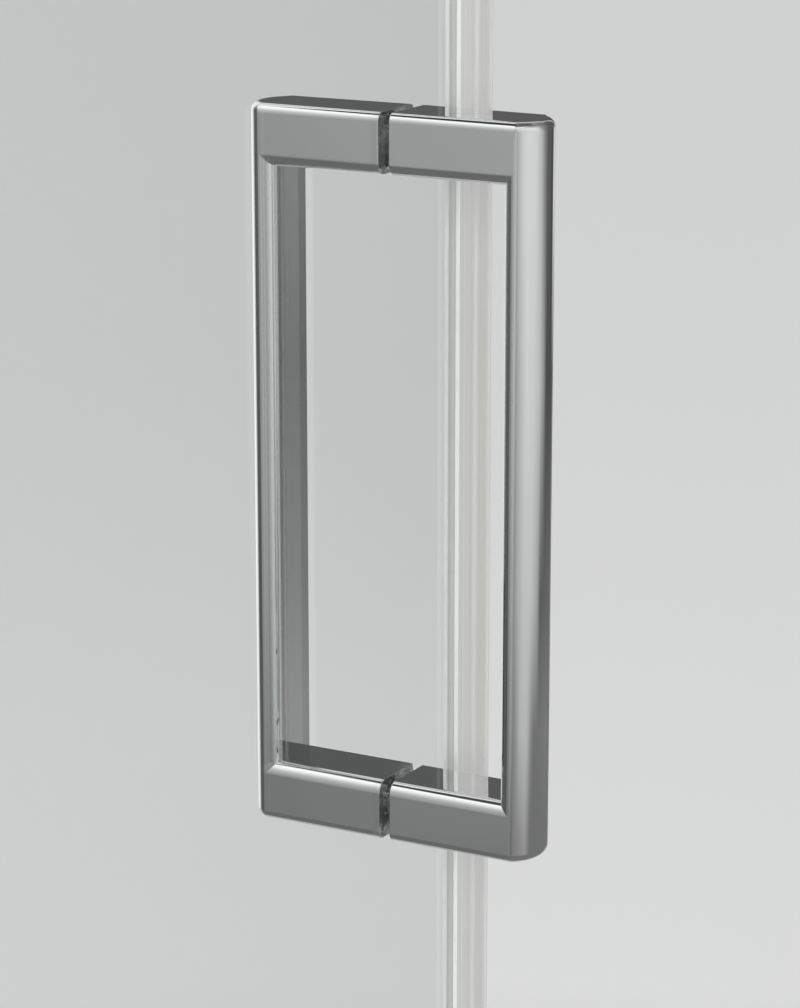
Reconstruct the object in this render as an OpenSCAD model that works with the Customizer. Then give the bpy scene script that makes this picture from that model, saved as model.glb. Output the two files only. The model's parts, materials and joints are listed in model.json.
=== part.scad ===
// In-line sliding shower door for a niche: a fixed pane, and a sliding pane that hangs on rollers.
// X runs along the door towards the closing jamb, Y points into the shower, Z is up.
// The sliding pane's mid plane is Y = 0, and the foot of the frame is Z = 0.

/* [Opening] */
// Width from wall to wall
opening_w = 1500; // [1400:10:1700]
// Height of the whole frame
frame_h = 2000; // [1900:5:2100]
// How far the sliding pane stands open as drawn
door_open = 395; // [100:5:500]

/* [Glass] */
// Thickness of both panes
glass_t = 6; // [5:0.5:6.5]
// How far left of the centre line the fixed pane ends
split_offset = 10; // [0:1:60]
// Overlap of the two panes when the door is closed
pane_overlap = 40; // [36:1:60]
// Height of the sliding pane's lower edge above the foot
pane_foot = 34; // [33:0.5:36]

/* [Handle] */
// Distance between the two arms of a handle, centre to centre
handle_pitch = 200; // [160:5:300]
// Height of an arm
arm_h = 17.9; // [15:0.1:22]
// Width of the handle along the door
handle_w = 21; // [18:0.5:26]
// Length of an arm from its glass end to the grip's edge
arm_reach = 40.5; // [36:0.1:46]
// Thickness of the grip at its edges
grip_t = 4.5; // [4.2:0.1:6]
// How far the grip's curved outer face bulges
grip_bulge = 5.6; // [3:0.1:7]
// Radius of the edges round the window
window_edge_r = 4.1; // [1.5:0.1:4.2]
// Radius of the handle's outer edges
handle_edge_r = 2.8; // [1:0.1:3]
// Height of the handle's middle above the foot
handle_z = 1050; // [950:10:1150]
// Distance of the handle's middle from the leading glass edge
handle_inset = 43; // [40:0.5:70]
// Thickness of the clear pad between an arm and the glass
pad_t = 0.5; // [0.3:0.1:1.5]
// Diameter of the studs that join the two halves
stud_d = 5; // [4:0.5:6]

/* [Seals] */
// Wall of the leading seal's clip
clip_t = 1.4; // [1:0.1:1.8]
// Depth of a seal's clip over the glass
clip_grip = 12; // [9:0.5:14]
// How far the leading seal stands past the glass edge
seal_nose = 9; // [7:0.5:12]
// Wall of the thin seals
fin_t = 1.1; // [0.9:0.1:1.4]

/* [Frame] */
// Distance of the frame's outer face from the sliding pane's mid plane
frame_front = 21.5; // [21:0.1:24]
// Distance of the frame's inner face from the sliding pane's mid plane
frame_back = 17.5; // [17:0.1:22]
// Wall of the jambs and channels, and of the rails' upright walls
frame_wall = 2; // [1.6:0.1:2.4]
// Distance of a jamb's face from its wall
jamb_stand = 36; // [34:0.5:42]
// Depth of a wall channel
channel_d = 22; // [20:0.5:24]
// Thickness of the caps on the jambs
cap_t = 2; // [1.5:0.1:3]
// Gasket on each side of the fixed pane
gasket_t = 1.25; // [1:0.05:1.5]
// Radius of the outer edges of the jambs, channels and top rail
frame_edge_r = 1.2; // [0.5:0.1:1.5]
// Radius of the holes for the wall screws
wall_hole_r = 2.75; // [2:0.05:3.5]

/* [Rails] */
// Thickness of the top rail's roof and ledges
rail_wall = 2.5; // [2:0.1:3]
// Clear height of the track
track_h = 26; // [25.5:0.1:30]
// Width of the slot between the ledges
slot_w = 12; // [11:0.1:13]
// Depth of the glazing groove in the top rail
groove_d = 14; // [13:0.5:18]
// Height of the bottom rail's walls
threshold_h = 20; // [19:0.5:22]
// Height of the fins beside the guide slot
fin_h = 18; // [16:0.5:18]
// Radius of the bead that the wheels run on
bead_r = 1.5; // [1.2:0.1:1.8]

/* [Rollers] */
// Outer radius of a wheel
wheel_r = 11; // [10:0.1:11]
// Width of a wheel
wheel_w = 6; // [5:0.1:6.4]
// Distance of a wheel's middle from the pane's mid plane
wheel_y = 10; // [9.6:0.1:10.2]
// Diameter of an axle
axle_d = 5; // [4:0.1:5.4]
// Length of a hanger
hanger_l = 80; // [72:1:100]
// Distance between a hanger's two axles
axle_pitch = 54; // [40:1:56]
// Distance of a hanger's middle from the pane's upright edge
hanger_inset = 90; // [75:1:140]
// Radius of the corners of the hangers and clamp plates
jaw_corner_r = 4; // [2:0.5:5]
// Gap between a wheel's groove and its bead
wheel_gap = 0.3; // [0.2:0.05:0.4]
// Diameter of the bolts in the hangers
bolt_d = 6; // [5:0.5:7]

/* [Guides] */
// Length of a bottom guide's housing
guide_l = 44; // [42:1:60]
// Distance of a guide's middle from the pane's upright edge
guide_inset = 90; // [60:1:140]
// How far a guide's shoe lifts
guide_lift = 9; // [8.5:0.1:9.5]
// Wire of a guide's spring
wire_d = 0.8; // [0.6:0.05:1]
// Turns of a guide's spring
spring_turns = 7; // [5:1:10]

/* [Hidden] */

$fn = 64;

// Overrun of a cut past the face that it opens
over = 1;
// Running clearance between sliding faces
slide_gap = 0.3;
// Clearance of pieces that are pushed or screwed together
fit_gap = 0.1;
// Running clearance round a shaft, on the radius
shaft_gap = 0.05;

// Lines of the panes
pane_y = glass_t / 2;
half_w = opening_w / 2;
jamb_face = half_w - jamb_stand;
jamb_magnet_stand = 6;
magnet_face = jamb_face - jamb_magnet_stand;
seal_gap = 0.5;
closed_edge = magnet_face - seal_gap - seal_nose;
fixed_edge = -split_offset;
door_w = closed_edge - fixed_edge + pane_overlap;
lead_x = closed_edge - door_open;
trail_x = lead_x - door_w;

// The door stops when its outer handle is this far from the fixed pane's seal
handle_stop_gap = 12;
travel = closed_edge - handle_inset - handle_w / 2 - fixed_edge - fin_t - handle_stop_gap;

// Profiles of the frame
profile_h = frame_h - cap_t;
channel_gap = 0.5;
jamb_leg = 30;
groove_w = glass_t + 2 * gasket_t;
groove_y0 = frame_wall - frame_front;
groove_y1 = groove_y0 + groove_w;
groove_wall = 1.5;
fixed_y = (groove_y0 + groove_y1) / 2;
track_y0 = frame_wall - frame_front;
track_y1 = frame_back - frame_wall;
track_top = profile_h - rail_wall;
ledge_z = track_top - track_h;
groove_top = ledge_z - rail_wall;
rail_foot = groove_top - groove_d;

// Screw ports, which are bosses in the rails that take the corner screws
port_bore_r = 1.7;
port_wall = 1.5;
port_bite = 0.3;
port_r = port_bore_r + port_wall;
port_in = port_r - port_bite;
port_places_top = [[track_y0 + port_in, track_top - port_in], [track_y0 + port_in, ledge_z + port_in]];
port_places_foot = [[fixed_y, rail_wall + port_in], [track_y1 - port_in, rail_wall + port_in]];
corner_screw_l = 22;
corner_head_r = port_in - 2 * fit_gap;
corner_head_t = 2.2;

// Fixed pane
pane_into_jamb = 3;
block_t = 4;
fixed_foot = rail_wall + port_in + port_r + block_t;
pane_top_gap = 3;
fixed_top = groove_top - pane_top_gap;
fixed_start = -jamb_face + pane_into_jamb;
jamb_groove_d = 14;
block_l = 60;
block_inset = 120;

// Guide slot in the bottom rail
guide_slot = 4.2;
guide_fin_t = 1.5;

// Adjusting screws of the jambs
screw_r = 2;
screw_head_r = 4;
screw_head_t = 2;
screw_l = 10;
cap_r = 6;
cap_h = 3.5;
cap_wall = 1.2;
screw_from_wall = 14;
screw_places_share = [0.075, 0.5, 0.925];
wall_hole_places_share = [0.05, 0.5, 0.95];

// Magnetic strip in the closing jamb
strip_half = 5;
strip_wall = 1;
strip_neck = 2;
strip_foot = 4;
strip_foot_t = 1.6;
pocket_d = 2.8;
pocket_wall = 1.6;

// Rollers: the groove of a wheel runs round the bead with an even gap
groove_r = bead_r + wheel_gap;
axle_z = ledge_z + wheel_r + wheel_gap;
bearing_r = 7;
bearing_w = 5;
sleeve_r = 3.6;
sleeve_l = 11;
rivet_r = 4;
rivet_t = 1;
plate_half = 2;
plate_rise = 7;
lift_gap = 0.8;
lift_l = 22;
lift_half = 5;
lift_hold = 4;

// Hanger, clamp and their bolts
pane_into_rail = 7;
pane_top = rail_foot + pane_into_rail;
bridge_gap = 1;
bridge_t = 4;
jaw_h = 44;
liner_t = 1;
jaw_t = 3.4;
clamp_t = 4.6;
bolt_pitch = 44;
bolt_drop = 22;
bolt_head_r = 4.8;
bolt_head_t = 3;
bush_wall = 1.6;
cover_wall = 1.2;
cover_y = 12.5;
cover_lip = 3;
cover_corner_r = 4;

// End stops in the track
stop_gap = 0.3;
buffer_l = 8;
buffer_r = 6;
buffer_stem_r = 2.5;
buffer_stem_l = 6;
stop_l = 26;
stop_half = 12;
stop_h = 18;
stop_bolt_r = 2.5;
washer_half = 8;
washer_t = 2;
stop_head_r = 4.2;
stop_head_t = 2.6;

// Handle studs, bushes and grub screws
stud_l = 46;
bush_r = 4.5;
grub_r = 2;
grub_l = 6;
pad_inset = 0.6;

// Bottom guides
guide_foot = 24;
guide_top = 86;
guide_y = 15;
guide_jaw = 3.4;
cavity_half = 8;
cavity_y0 = 6.6;
cavity_y1 = 12.4;
cavity_roof = 5;
foot_l = 25;
foot_z = 10.5;
foot_over = 0.4;
foot_t = 3;
slider_top = 56;
knob_z = 44;
knob_stem_r = 3;
knob_gap = 0.4;
knob_w = 16;
knob_h = 18;
knob_t = 6;
knob_rib_r = 0.8;
knob_ribs = 5;
guide_bolt_r = 2.5;
guide_bolt_x = 15;
guide_bolt_z = 62;
guide_head_r = 4.2;
guide_head_t = 2.4;
spring_r = 2.1;
ring_sides = 6;
rings_per_turn = 8;

// Seals
seal_wall = 0.9;
magnet_gap = 0.1;
seal_foot_in = 2;
seal_top_gap = 3;
seal_foot = pane_foot + seal_foot_in;
seal_top = rail_foot - seal_top_gap;
fin_clear = 0.4;
notch_gap = 4;
drip_grip = 10;
drip_gap = 1.5;

// Extrusions of a flat outline along X, Y and Z. An outline for X is drawn in Y and Z,
// one for Y in X and Z, and one for Z in X and Y.
module along_x(x0, x1) translate([x0, 0, 0]) rotate([90, 0, 90]) linear_extrude(x1 - x0) children();
module along_y(y0, y1) translate([0, y1, 0]) rotate([90, 0, 0]) linear_extrude(y1 - y0) children();
module along_z(z0, z1) translate([0, 0, z0]) linear_extrude(z1 - z0) children();
module rect(x0, y0, x1, y1) translate([x0, y0]) square([x1 - x0, y1 - y0]);
module block(low, high) translate(low) cube(high - low);
module pin_y(x, z, y0, y1, r) translate([x, y1, z]) rotate([90, 0, 0]) cylinder(h = y1 - y0, r = r);
module pin_x(y, z, x0, x1, r) translate([x0, y, z]) rotate([0, 90, 0]) cylinder(h = x1 - x0, r = r);
module pin_z(x, y, z0, z1, r) translate([x, y, z0]) cylinder(h = z1 - z0, r = r);

// A rectangle with round corners
module round_rect(x0, y0, x1, y1, r) {
    rect(x0 + r, y0, x1 - r, y1);
    rect(x0, y0 + r, x1, y1 - r);
    for (x = [x0 + r, x1 - r], y = [y0 + r, y1 - r]) translate([x, y]) circle(r);
}

// An upright wall of an extruded profile, with a fully rounded top
module lip(y, z, t) {
    rect(y - t / 2, 0, y + t / 2, z - t / 2);
    translate([y, z - t / 2]) circle(t / 2);
}

// Everything on the fixed side is drawn at the left wall, and this places it at the right wall
module at_right() mirror([1, 0, 0]) children();

// Outline of a wall channel in X and Y, open towards the door
channel_y0 = -frame_front - channel_gap - frame_wall;
channel_y1 = frame_back + channel_gap + frame_wall;
module channel_outline() difference() {
    intersection() {
        rect(-half_w, channel_y0, channel_d - half_w, channel_y1);
        round_rect(-half_w - channel_d, channel_y0, channel_d - half_w, channel_y1, frame_edge_r);
    }
    rect(frame_wall - half_w, -frame_front - channel_gap, channel_d - half_w + over,
        frame_back + channel_gap);
}

channel_mid = (frame_back - frame_front) / 2;
screw_x = screw_from_wall - half_w;

module wall_channel() color("silver") difference() {
    along_z(0, profile_h) channel_outline();
    for (share = wall_hole_places_share)
        pin_x(channel_mid, frame_h * share, -half_w - over, frame_wall - half_w + over, wall_hole_r);
    for (share = screw_places_share)
        pin_y(screw_x, frame_h * share, frame_back, frame_back + channel_gap + frame_wall + over,
            screw_r + fit_gap);
}

module wall_channel_fixed() wall_channel();
module wall_channel_closing() at_right() wall_channel();

// Outline of a jamb in X and Y, which slides in the wall channel with its face towards the door
module jamb_outline() difference() {
    round_rect(-jamb_face - jamb_leg, -frame_front, -jamb_face, frame_back, frame_edge_r);
    rect(-jamb_face - jamb_leg - over, frame_wall - frame_front, -jamb_face - frame_wall,
        frame_back - frame_wall);
}

module jamb_holes() {
    for (share = screw_places_share)
        pin_y(screw_x, frame_h * share, frame_back - frame_wall - over, frame_back + over, screw_r + fit_gap);
    for (place = concat(port_places_top, port_places_foot))
        pin_x(place.x, place.y, -jamb_face - frame_wall - over, over - jamb_face, port_bore_r + fit_gap);
}

module jamb_fixed() color("silver") difference() {
    along_z(0, profile_h) jamb_outline();
    jamb_holes();
}

// The channel that holds the fixed pane's upright edge lies on the jamb's face between the rails
module glazing_channel() color("silver") along_z(threshold_h + fit_gap, rail_foot - fit_gap) difference() {
    intersection() {
        rect(-jamb_face, -frame_front, jamb_groove_d - jamb_face, groove_y1 + groove_wall);
        round_rect(-jamb_face - jamb_groove_d, -frame_front, jamb_groove_d - jamb_face,
            groove_y1 + groove_wall, frame_edge_r);
    }
    rect(groove_wall - jamb_face, frame_wall - frame_front, jamb_groove_d - jamb_face + over, groove_y1);
}

module jamb_closing() color("silver") at_right() difference() {
    union() {
        along_z(0, profile_h) jamb_outline();
        along_z(0, profile_h) rect(-jamb_face - frame_wall - pocket_d - pocket_wall,
            -strip_foot - fit_gap - pocket_wall, -jamb_face - frame_wall / 2,
            strip_foot + fit_gap + pocket_wall);
    }
    along_z(-over, profile_h + over)
        rect(-jamb_face - frame_wall - pocket_d, -strip_foot - fit_gap, -jamb_face - frame_wall,
            strip_foot + fit_gap);
    along_z(threshold_h, rail_foot)
        rect(-jamb_face - frame_wall - over, -strip_neck - fit_gap, over - jamb_face, strip_neck + fit_gap);
    jamb_holes();
}

// A cap lies on both profiles, and its tongue goes down inside the jamb
cap_tongue = 12;
cap_tongue_gap = 1;
module profile_cap() {
    along_z(profile_h, frame_h) intersection() {
        rect(-half_w, channel_y0, -jamb_face, channel_y1);
        round_rect(-half_w - jamb_stand, channel_y0, -jamb_face, channel_y1, frame_edge_r + channel_gap);
    }
    block([screw_x, frame_wall - frame_front + cap_tongue_gap, profile_h - cap_tongue],
        [screw_x + cap_tongue_gap + frame_wall, frame_back - frame_wall - cap_tongue_gap, profile_h]);
}
module profile_caps() color("silver") {
    profile_cap();
    at_right() profile_cap();
}

module port(place) translate(place) circle(port_r);
module port_bore(place) translate(place) circle(port_bore_r);

// Outline of the top rail in Y and Z
module top_rail_outline() difference() {
    intersection() {
        union() {
            rect(-frame_front, rail_foot, frame_wall - frame_front, profile_h);
            rect(-frame_front, track_top, frame_back, profile_h);
            rect(track_y1, groove_top, frame_back, profile_h);
            rect(-frame_front, groove_top, -slot_w / 2, ledge_z);
            rect(slot_w / 2, groove_top, frame_back, ledge_z);
            rect(groove_y1, rail_foot, groove_y1 + groove_wall, groove_top + rail_wall / 2);
            for (side = [-1, 1]) translate([side * wheel_y, ledge_z]) circle(bead_r);
            for (place = port_places_top) port(place);
        }
        round_rect(-frame_front, rail_foot, frame_back, profile_h, frame_edge_r);
    }
    for (place = port_places_top) port_bore(place);
}
module top_rail() color("silver") along_x(-jamb_face, jamb_face) top_rail_outline();

// Outline of the bottom rail in Y and Z
back_lip_h = 8;
module bottom_rail_outline() difference() {
    union() {
        rect(-frame_front, 0, frame_back, rail_wall);
        lip(frame_wall / 2 - frame_front, threshold_h, frame_wall);
        lip(groove_y1 + groove_wall / 2, threshold_h, groove_wall);
        for (side = [-1, 1]) lip(side * (guide_slot + guide_fin_t / 2), fin_h, guide_fin_t);
        lip(frame_back - frame_wall / 2, back_lip_h, frame_wall);
        for (place = port_places_foot) port(place);
    }
    for (place = port_places_foot) port_bore(place);
}
module bottom_rail() color("silver") along_x(-jamb_face, jamb_face) bottom_rail_outline();

// Corner screws go from inside a jamb into a rail's port
module corner_screw(place) {
    pin_x(place.x, place.y, -jamb_face - frame_wall, corner_screw_l - jamb_face, port_bore_r);
    pin_x(place.x, place.y, -jamb_face - frame_wall - corner_head_t, -jamb_face - frame_wall, corner_head_r);
}
module rail_screws() color("lightgrey") {
    for (place = concat(port_places_top, port_places_foot)) {
        corner_screw(place);
        at_right() corner_screw(place);
    }
}

leg_face = frame_back + channel_gap + frame_wall;
module jamb_screw(z) {
    pin_y(screw_x, z, leg_face - screw_l, leg_face, screw_r);
    pin_y(screw_x, z, leg_face, leg_face + screw_head_t, screw_head_r);
}
module jamb_screws() color("lightgrey") for (share = screw_places_share) {
    jamb_screw(frame_h * share);
    at_right() jamb_screw(frame_h * share);
}

module screw_cap(z) difference() {
    translate([screw_x, leg_face, z]) rotate([-90, 0, 0]) rotate_extrude() {
        square([cap_r, cap_h - cap_wall]);
        square([cap_r - cap_wall, cap_h]);
        translate([cap_r - cap_wall, cap_h - cap_wall]) circle(cap_wall);
    }
    pin_y(screw_x, z, leg_face - over, leg_face + cap_h - cap_wall, screw_head_r + fit_gap);
}
module screw_caps() color("silver") for (share = screw_places_share) {
    screw_cap(frame_h * share);
    at_right() screw_cap(frame_h * share);
}

module fixed_glass() color("lightcyan", 0.4)
    block([fixed_start, fixed_y - pane_y, fixed_foot], [fixed_edge, fixed_y + pane_y, fixed_top]);

// Gaskets fill the grooves on both sides of the pane
module gasket_pair() for (side = [-1, 1])
    translate([0, fixed_y + side * (pane_y + gasket_t / 2), 0]) children();
gasket_h = 10;
module glazing_gaskets() color("dimgrey") gasket_pair() {
    block([-jamb_face + jamb_groove_d, -gasket_t / 2, groove_top - gasket_h],
        [fixed_edge - clip_grip, gasket_t / 2, groove_top - pane_top_gap]);
    block([-jamb_face + jamb_groove_d, -gasket_t / 2, threshold_h - gasket_h + over],
        [fixed_edge - clip_grip, gasket_t / 2, threshold_h]);
    block([jamb_groove_d - jamb_face - gasket_h, -gasket_t / 2, threshold_h + fit_gap],
        [jamb_groove_d - jamb_face, gasket_t / 2, rail_foot - fit_gap]);
}

module setting_blocks() color("black")
    for (x = [fixed_start + block_inset, fixed_edge - block_inset])
        block([x - block_l / 2, fixed_y - pane_y, fixed_foot - block_t],
            [x + block_l / 2, fixed_y + pane_y, fixed_foot]);

// A clip over an upright glass edge at x = 0, with the glass on the left
module clip_outline(wall) difference() {
    rect(-clip_grip, -pane_y - wall, wall, pane_y + wall);
    rect(-clip_grip - over, -pane_y, 0, pane_y);
}

// The fin of the overlap seal is cut away where the hangers and guides pass
fin_foot = guide_top + notch_gap;
fin_top = pane_top - jaw_h - notch_gap;
module overlap_seal() color("white", 0.5) {
    translate([fixed_edge, fixed_y, 0]) along_z(threshold_h + fit_gap, seal_top) clip_outline(fin_t);
    along_z(fin_foot, fin_top)
        rect(fixed_edge - fin_t, fixed_y + pane_y, fixed_edge, -pane_y - fin_clear);
}

// Strip holder in X and Y: a box with the magnet, and a foot in the jamb's pocket
module jamb_magnet_holder() color("white", 0.6) at_right() along_z(threshold_h + fit_gap, rail_foot - fit_gap)
    difference() {
        union() {
            rect(-jamb_face, -strip_half, -magnet_face, strip_half);
            rect(-jamb_face - frame_wall - fit_gap, -strip_neck, -jamb_face, strip_neck);
            rect(-jamb_face - frame_wall - fit_gap - strip_foot_t, -strip_foot,
                -jamb_face - frame_wall - fit_gap, strip_foot);
        }
        rect(-jamb_face + strip_wall, strip_wall - strip_half, -magnet_face - strip_wall,
            strip_half - strip_wall);
    }
module jamb_magnet() color("dimgrey") at_right() along_z(threshold_h + fit_gap, rail_foot - fit_gap)
    rect(-jamb_face + strip_wall + magnet_gap, strip_wall + magnet_gap - strip_half,
        -magnet_face - strip_wall - magnet_gap, strip_half - strip_wall - magnet_gap);

// Where the hangers' ends are when the door is fully closed and fully open
stop_right = closed_edge - hanger_inset + hanger_l / 2 + stop_gap;
stop_left = closed_edge - travel - door_w + hanger_inset - hanger_l / 2 - stop_gap;

// A stop is drawn to the right of x = 0, where its buffer's face is
module stop_block() difference() {
    block([buffer_l, -stop_half, ledge_z], [buffer_l + stop_l, stop_half, ledge_z + stop_h]);
    for (side = [-1, 1])
        pin_x(side * wheel_y, ledge_z, buffer_l - over, buffer_l + stop_l + over, groove_r);
    pin_x(0, axle_z, buffer_l - over, buffer_l + buffer_stem_l, buffer_stem_r + fit_gap);
    pin_z(buffer_l + stop_l / 2, 0, ledge_z - over, ledge_z + stop_h + over, stop_bolt_r + fit_gap);
}
module stop_buffer() {
    pin_x(0, axle_z, over, buffer_l, buffer_r);
    pin_x(0, axle_z, 0, over, buffer_r - over);
    pin_x(0, axle_z, over, buffer_l + buffer_stem_l, buffer_stem_r);
}
module stop_screw() {
    x = buffer_l + stop_l / 2;
    difference() {
        block([x - washer_half, -washer_half, groove_top - washer_t], [x + washer_half, washer_half, groove_top]);
        pin_z(x, 0, groove_top - washer_t - over, groove_top + over, stop_bolt_r);
    }
    pin_z(x, 0, groove_top - washer_t - stop_head_t, ledge_z + stop_h, stop_bolt_r);
    pin_z(x, 0, groove_top - washer_t - stop_head_t, groove_top - washer_t, stop_head_r);
}
module both_stops() {
    translate([stop_right, 0, 0]) children();
    translate([stop_left, 0, 0]) mirror([1, 0, 0]) children();
}
module stop_blocks() color("grey") both_stops() stop_block();
module stop_buffers() color("black") both_stops() stop_buffer();
module stop_screws() color("lightgrey") both_stops() stop_screw();

// Places on the sliding pane
handle_x = lead_x - handle_inset;
arm_z = [handle_z - handle_pitch / 2, handle_z + handle_pitch / 2];
hanger_x = [trail_x + hanger_inset, lead_x - hanger_inset];
guide_x = [trail_x + guide_inset, lead_x - guide_inset];
bolt_z = pane_top - bolt_drop;
hole_r = bolt_d / 2 + bush_wall;
guide_hole_r = guide_bolt_r + bush_wall;

module door_glass() color("lightcyan", 0.4) difference() {
    block([trail_x, -pane_y, pane_foot], [lead_x, pane_y, pane_top]);
    for (z = arm_z) pin_y(handle_x, z, -pane_y - over, pane_y + over, bush_r);
    for (x = hanger_x, side = [-1, 1])
        pin_y(x + side * bolt_pitch / 2, bolt_z, -pane_y - over, pane_y + over, hole_r);
    for (x = guide_x, side = [-1, 1])
        pin_y(x + side * guide_bolt_x, guide_bolt_z, -pane_y - over, pane_y + over, guide_hole_r);
}

// Leading seal in X and Y: a clip on the glass and a box for the magnet
nose_y = pane_y + clip_t;
module closing_seal() color("white", 0.5) translate([lead_x, 0, 0]) along_z(seal_foot, seal_top) {
    clip_outline(clip_t);
    difference() {
        rect(0, -nose_y, seal_nose, nose_y);
        rect(clip_t, seal_wall - nose_y, seal_nose - seal_wall, nose_y - seal_wall);
    }
}
module closing_magnet() color("ivory") translate([lead_x, 0, 0]) along_z(seal_foot, seal_top)
    rect(clip_t + magnet_gap, seal_wall + magnet_gap - nose_y, seal_nose - seal_wall - magnet_gap,
        nose_y - seal_wall - magnet_gap);

module trailing_seal() color("white", 0.5) translate([trail_x, 0, 0]) along_z(seal_foot, seal_top) {
    mirror([1, 0]) clip_outline(fin_t);
    rect(-fin_t, fixed_y + pane_y + fin_clear, 0, -pane_y);
}

// The drip seal fills the pane's lower edge between the guides and out to both upright seals
module drip_piece(x0, x1) along_x(x0, x1) {
    difference() {
        rect(-pane_y - fin_t, pane_foot - fin_t, pane_y + fin_t, pane_foot + drip_grip);
        rect(-pane_y, pane_foot, pane_y, pane_foot + drip_grip + over);
    }
    rect(-pane_y - fin_t, fin_h + drip_gap, -pane_y, pane_foot);
}
module drip_seal() color("white", 0.5) {
    clear = guide_l / 2 + fit_gap;
    drip_piece(trail_x + clip_grip + fit_gap, guide_x[0] - clear);
    drip_piece(guide_x[0] + clear, guide_x[1] - clear);
    drip_piece(guide_x[1] + clear, lead_x - clip_grip - fit_gap);
}

// Handle: plan of one half, with x across its width and y away from the glass.
// The outer face is one arc, and its two edges are arcs that touch it.
bulge_r = (handle_w * handle_w / 4 + grip_bulge * grip_bulge) / (2 * grip_bulge);
bulge_y = arm_reach + grip_bulge - bulge_r;
edge_x = handle_w / 2 - handle_edge_r;
edge_y = bulge_y + sqrt(pow(bulge_r - handle_edge_r, 2) - edge_x * edge_x);
touch_share = bulge_r / (bulge_r - handle_edge_r);
touch = [edge_x * touch_share, bulge_y + (edge_y - bulge_y) * touch_share];
handle_half_h = handle_pitch / 2 + arm_h / 2;
window_half_h = handle_pitch / 2 - arm_h / 2;
grip_y = arm_reach - grip_t;

module handle_plan() {
    rect(-handle_w / 2, 0, handle_w / 2, edge_y);
    for (side = [-1, 1]) translate([side * edge_x, edge_y]) circle(handle_edge_r);
    intersection() {
        translate([0, bulge_y]) circle(bulge_r, $fn = 180);
        polygon([[0, bulge_y], touch, [touch.x, arm_reach + grip_bulge + over],
            [-touch.x, arm_reach + grip_bulge + over], [-touch.x, touch.y]]);
    }
}

// The curved face's upper and lower rims are rounded all along the arc
module handle_barrel() translate([0, bulge_y, 0]) rotate_extrude($fn = 180) {
    rect(0, -handle_half_h, bulge_r - handle_edge_r, handle_half_h);
    rect(0, handle_edge_r - handle_half_h, bulge_r, handle_half_h - handle_edge_r);
    for (side = [-1, 1])
        translate([bulge_r - handle_edge_r, side * (handle_half_h - handle_edge_r)]) circle(handle_edge_r);
}

// Cutter outline for the window: it widens at the front face by a quarter round, so that the
// two cutters below meet in mitres at the window's corners
module flare(edge, limit, x_sign, r) difference() {
    translate([x_sign * handle_w / 2, limit]) rect(-r, edge > 0 ? 0 : -r, r, edge > 0 ? r : 0);
    translate([x_sign * (handle_w / 2 - r), limit + edge * r]) circle(r);
}
module window_plan() {
    rect(-handle_w / 2 - over, -over, handle_w / 2 + over, grip_y);
    flare(1, grip_y, -1, window_edge_r);
    flare(1, grip_y, 1, handle_edge_r);
}
module window_side() {
    rect(-handle_w / 2 - over, -window_half_h, handle_w / 2 + over, window_half_h);
    for (edge = [-1, 1]) {
        flare(edge, edge * window_half_h, -1, window_edge_r);
        flare(edge, edge * window_half_h, 1, handle_edge_r);
    }
}

module handle_body() difference() {
    intersection() {
        along_z(-handle_half_h, handle_half_h) handle_plan();
        along_y(-over, arm_reach + grip_bulge + over)
            round_rect(-handle_w / 2, -handle_half_h, handle_w / 2, handle_half_h, handle_edge_r);
        union() {
            block([-handle_w, -over, -handle_half_h], [handle_w, edge_y, handle_half_h]);
            handle_barrel();
        }
    }
    intersection() {
        along_z(-handle_half_h, handle_half_h) window_plan();
        along_y(-over - over, arm_reach) window_side();
    }
    for (side = [-1, 1])
        pin_y(0, side * handle_pitch / 2, -over, stud_l / 2 - pane_y - pad_t + fit_gap, stud_d / 2 + shaft_gap);
}

arm_end = pane_y + pad_t;
module handle_outer() color("silver")
    translate([handle_x, -arm_end, handle_z]) mirror([0, 1, 0]) handle_body();
grub_y = arm_end + grub_l;
module handle_inner() color("silver") difference() {
    translate([handle_x, arm_end, handle_z]) handle_body();
    for (z = arm_z) pin_x(grub_y, z, handle_x, handle_x + handle_w / 2 + over, grub_r + shaft_gap);
}
module handle_studs() color("grey") for (z = arm_z)
    pin_y(handle_x, z, -stud_l / 2, stud_l / 2, stud_d / 2);
module handle_grub_screws() color("grey") for (z = arm_z)
    pin_x(grub_y, z, handle_x + stud_d / 2, handle_x + stud_d / 2 + grub_l, grub_r);

module ring_y(x, z, y0, y1, r_out, r_in) difference() {
    pin_y(x, z, y0, y1, r_out);
    pin_y(x, z, y0 - over, y1 + over, r_in);
}
module handle_bushes() color("white", 0.6) for (z = arm_z)
    ring_y(handle_x, z, -pane_y, pane_y, bush_r - shaft_gap, stud_d / 2 + shaft_gap);
module handle_gaskets() color("white", 0.4) for (z = arm_z, side = [0, 1]) mirror([0, side, 0]) difference() {
    along_y(pane_y, arm_end) translate([handle_x, z]) round_rect(pad_inset - handle_w / 2,
        pad_inset - arm_h / 2, handle_w / 2 - pad_inset, arm_h / 2 - pad_inset, handle_edge_r);
    pin_y(handle_x, z, pane_y - over, arm_end + over, stud_d / 2 + fit_gap);
}

// Hanger: a plate in the track, a bridge over the pane's top edge and the outer jaw
bridge_z = pane_top + bridge_gap;
jaw_y = pane_y + liner_t;

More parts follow.
